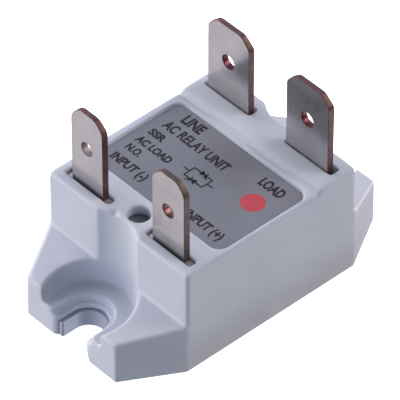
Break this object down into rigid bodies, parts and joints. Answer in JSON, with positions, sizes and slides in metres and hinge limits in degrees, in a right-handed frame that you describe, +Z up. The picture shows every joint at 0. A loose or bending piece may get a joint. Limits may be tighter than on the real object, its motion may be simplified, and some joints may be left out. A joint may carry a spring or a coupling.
{
  "type": "solid state relay",
  "caption": "Miniature flat-pack solid state relay with push-on blade terminals on top, a metal base plate for a heatsink and an open screw notch in each end.",
  "frame": {"origin": "centre of the heatsink face, under the middle of the body", "axes": "+X from the input (control) tabs to the output tabs, +Z up out of the heatsink face, +Y to the side of the negative input tab"},
  "size_m": [0.0366, 0.0214, 0.0238],
  "materials": {
    "housing_plastic": "satin moulded",
    "label_film": "satin film",
    "plate_metal": "brushed, sheared edge",
    "seal_adhesive": "cured silicone adhesive",
    "tinned_copper": "matt tin over copper alloy",
    "bare_copper": "bare copper",
    "solder": "satin solder",
    "alumina": "fired alumina",
    "silicon": "polished chip",
    "circuit_board": "solder mask",
    "black_epoxy": "moulded epoxy",
    "capacitor_ceramic": "sintered ceramic",
    "silicone_gel": "soft clear gel"
  },
  "bodies": {
    "root": {"housing": "housing_plastic", "label": "label_film", "base_plate": "plate_metal", "housing_seal": "seal_adhesive", "substrate_solder": "solder", "substrate_bottom_copper": "bare_copper", "substrate_ceramic": "alumina", "line_copper_track": "bare_copper", "load_copper_track": "bare_copper", "gate_copper_pads": "bare_copper", "chip_solder": "solder", "forward_thyristor_chip": "silicon", "reverse_thyristor_chip": "silicon", "forward_cathode_clip": "bare_copper", "reverse_cathode_clip": "bare_copper", "gate_jumpers": "bare_copper", "tab_solder": "solder", "output_tab_line": "tinned_copper", "output_tab_load": "tinned_copper", "input_tab_minus": "tinned_copper", "input_tab_plus": "tinned_copper", "control_board": "circuit_board", "board_pins": "tinned_copper", "board_solder_joints": "solder", "optocoupler_body": "black_epoxy", "optocoupler_leads": "tinned_copper", "reverse_polarity_diode": "black_epoxy", "diode_terminals": "tinned_copper", "limiter_transistors": "black_epoxy", "transistor_leads": "tinned_copper", "input_resistor": "black_epoxy", "gate_resistors": "black_epoxy", "resistor_terminals": "tinned_copper", "snubber_resistor": "black_epoxy", "snubber_capacitor": "capacitor_ceramic", "snubber_terminals": "tinned_copper", "potting_gel": "silicone_gel"}
  },
  "joints": []
}
